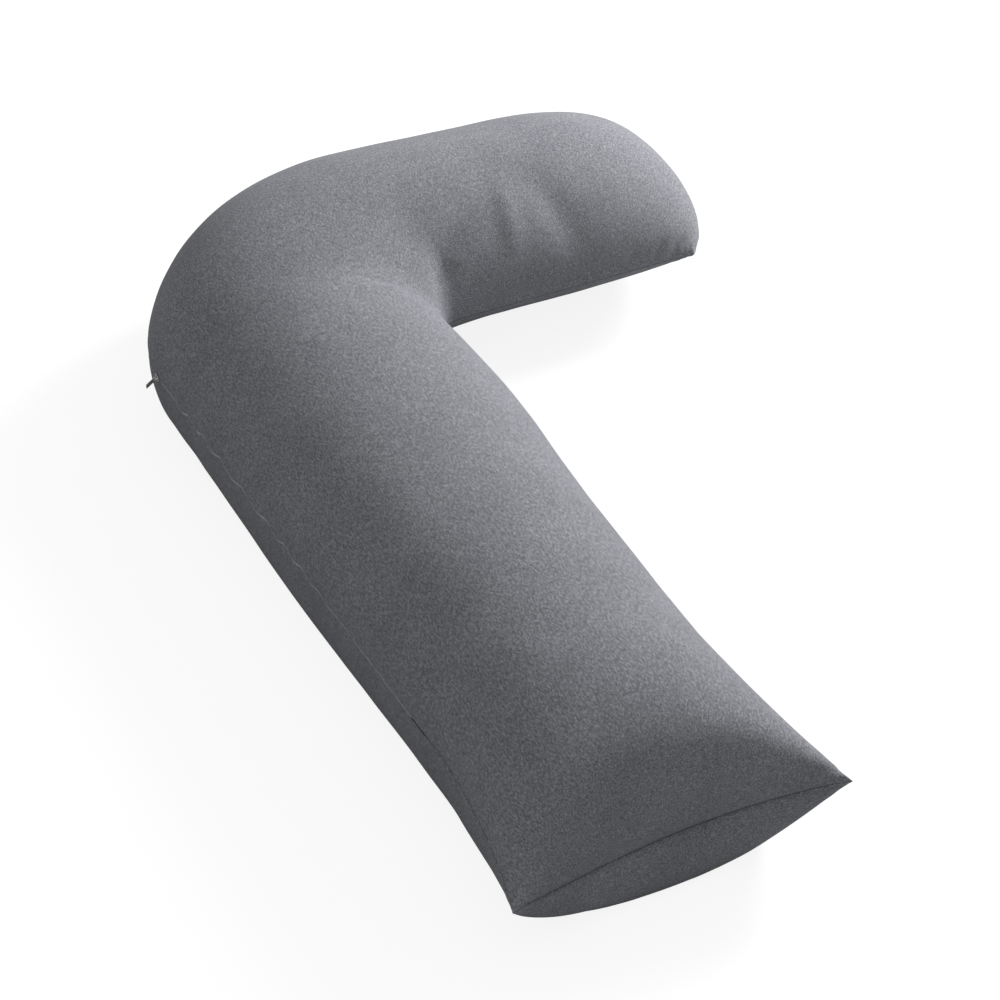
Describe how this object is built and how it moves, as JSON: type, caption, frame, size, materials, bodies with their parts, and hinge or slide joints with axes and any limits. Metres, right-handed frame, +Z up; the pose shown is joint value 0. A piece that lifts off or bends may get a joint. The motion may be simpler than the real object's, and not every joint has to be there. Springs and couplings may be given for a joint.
{
  "type": "corner-shaped nursing pillow",
  "caption": "Corner-shaped body and nursing pillow: a zipped grey heather jersey cover over a fibre-filled inner liner.",
  "frame": {"origin": "on the resting face, under the point where the centre lines of the two arms cross", "axes": "+Z up, long arm along -Y, short arm along +X"},
  "size_m": [0.7454, 1.2135, 0.2142],
  "materials": {
    "jersey": "matte heather knit",
    "liner": "plain white cloth",
    "fibre": "loose polyester fibre",
    "zip_tape": "woven tape",
    "zip_nylon": "satin nylon",
    "zip_metal": "nickel plated",
    "thread": "spun polyester",
    "label": "blank satin"
  },
  "bodies": {
    "pillow": {"cover_top_panel": "jersey", "cover_bottom_panel": "jersey", "cover_seam_thread": "thread", "cover_care_label": "label", "zip_tape_upper": "zip_tape", "zip_tape_lower": "zip_tape", "zip_stitch_upper": "thread", "zip_stitch_lower": "thread", "zip_coil_upper": "zip_nylon", "zip_coil_lower": "zip_nylon", "zip_top_stop_upper": "zip_metal", "zip_top_stop_lower": "zip_metal", "zip_bottom_stop": "zip_metal", "liner_top_panel": "liner", "liner_bottom_panel": "liner", "liner_seam_thread": "thread", "liner_closing_stitch": "thread", "liner_care_label": "label", "fibre_filling": "fibre"},
    "slider": {"zip_slider_body": "zip_metal"},
    "pull": {"zip_pull_tab": "zip_metal"}
  },
  "joints": [
    {"name": "slider_travel", "type": "slide", "parent": "pillow", "child": "slider", "axis": [0.0205, -0.9998, 0], "range_m": [0, 0.656]},
    {"name": "pull_swing", "type": "hinge", "parent": "slider", "child": "pull", "pos_m": [-0.16808, -0.10604, 0.08], "axis": [0, 0, 1], "range_deg": [-115, 45]}
  ]
}
